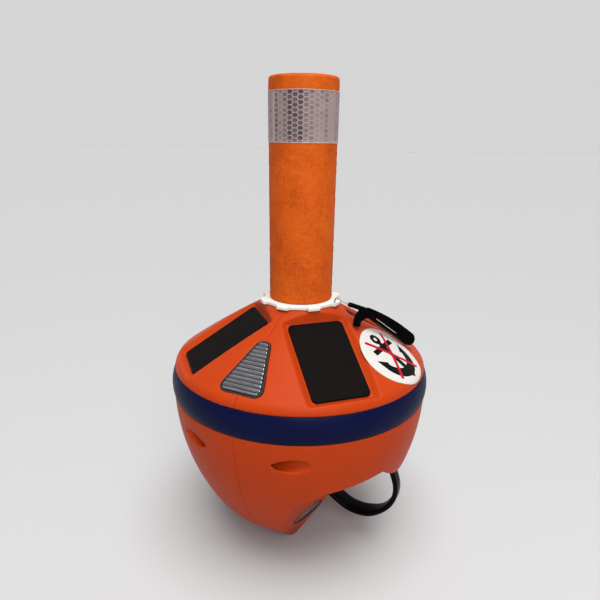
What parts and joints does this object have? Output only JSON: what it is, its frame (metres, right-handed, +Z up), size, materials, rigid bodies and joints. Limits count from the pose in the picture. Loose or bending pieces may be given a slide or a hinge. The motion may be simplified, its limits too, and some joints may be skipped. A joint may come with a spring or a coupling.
{
  "type": "emergency position beacon",
  "caption": "Floating emergency beacon: split orange hull with fender band, solar panels, signal lights and a hand notch with grab loop, under a foam-covered antenna mast on a lock ring",
  "frame": {"origin": "centre of the flat base, on the ground plane", "axes": "+Z up along the mast; the hull's seam lies in the plane X = 0; +X points to the hand notch and grab loop; +Y completes a right-handed frame"},
  "size_m": [0.3242, 0.3242, 0.5695],
  "materials": {
    "hull_plastic": "satin",
    "band_rubber": "satin",
    "seal_rubber": "matte",
    "panel_glass": "satin",
    "lens_clear": "gloss",
    "white_plastic": "satin",
    "tool_plastic": "satin",
    "sign_plastic": "satin",
    "foam_cover": "matte",
    "reflective_sheet": "satin",
    "loop_rubber": "satin",
    "stainless": "satin",
    "inner_plastic": "matte",
    "circuit_board": "satin",
    "brass_contact": "satin",
    "tether_fibre": "matte",
    "ballast_iron": "matte",
    "cell_sleeve": "satin",
    "radio_can": "satin"
  },
  "bodies": {
    "hull": {"right_half_shell": "hull_plastic", "left_half_shell": "hull_plastic", "seam_seal": "seal_rubber", "fender_band": "band_rubber", "solar_panel_front_right": "panel_glass", "solar_panel_front_left": "panel_glass", "solar_panel_rear_right": "panel_glass", "solar_panel_rear_left": "panel_glass", "panel_seals": "seal_rubber", "front_light_lens": "lens_clear", "front_lens_seal": "seal_rubber", "front_light_back": "inner_plastic", "front_light_board": "circuit_board", "front_light_leds": "white_plastic", "rear_light_lens": "lens_clear", "rear_lens_seal": "seal_rubber", "rear_light_back": "inner_plastic", "rear_light_board": "circuit_board", "rear_light_leds": "white_plastic", "clamp_bolts": "stainless", "clamp_nuts": "stainless", "clamp_washers": "stainless", "sign_disc": "sign_plastic", "service_window": "lens_clear", "window_gasket": "seal_rubber", "status_board": "circuit_board", "status_lamps": "white_plastic", "neck_sleeve": "inner_plastic", "mast_seal": "seal_rubber", "antenna_socket": "brass_contact", "grab_loop": "loop_rubber", "loop_pins": "stainless", "ballast_weight": "ballast_iron", "battery_cells": "cell_sleeve", "battery_tray": "inner_plastic", "battery_clamp": "inner_plastic", "battery_studs": "stainless", "electronics_pod": "inner_plastic", "pod_seal": "seal_rubber", "pod_lid": "inner_plastic", "main_board": "circuit_board", "board_carrier": "inner_plastic", "radio_module": "radio_can", "charge_controller": "inner_plastic", "lead_gland": "brass_contact", "antenna_lead": "seal_rubber"},
    "mast": {"mast_foot": "inner_plastic", "mast_tube": "inner_plastic", "mast_cap": "inner_plastic", "foam_sleeve": "foam_cover", "reflective_tape": "reflective_sheet", "antenna_plug": "brass_contact", "antenna_rod": "brass_contact", "antenna_spacers": "inner_plastic", "gnss_antenna": "white_plastic"},
    "ring": {"lock_ring": "white_plastic", "tether_cord": "tether_fibre", "cord_ferrule": "tool_plastic", "ring_spanner": "tool_plastic"}
  },
  "joints": [
    {"name": "mast_rise", "type": "slide", "parent": "hull", "child": "mast", "axis": [0, 0, 1], "range_m": [0, 0.0121]},
    {"name": "ring_turn", "type": "hinge", "parent": "mast", "child": "ring", "pos_m": [0, 0, 0.328], "axis": [0, 0, 1], "range_deg": [0, 720]}
  ],
  "couplings": [
    {"joint": "mast_rise", "follows": "ring_turn", "m_per_rad": 0.00095493}
  ]
}
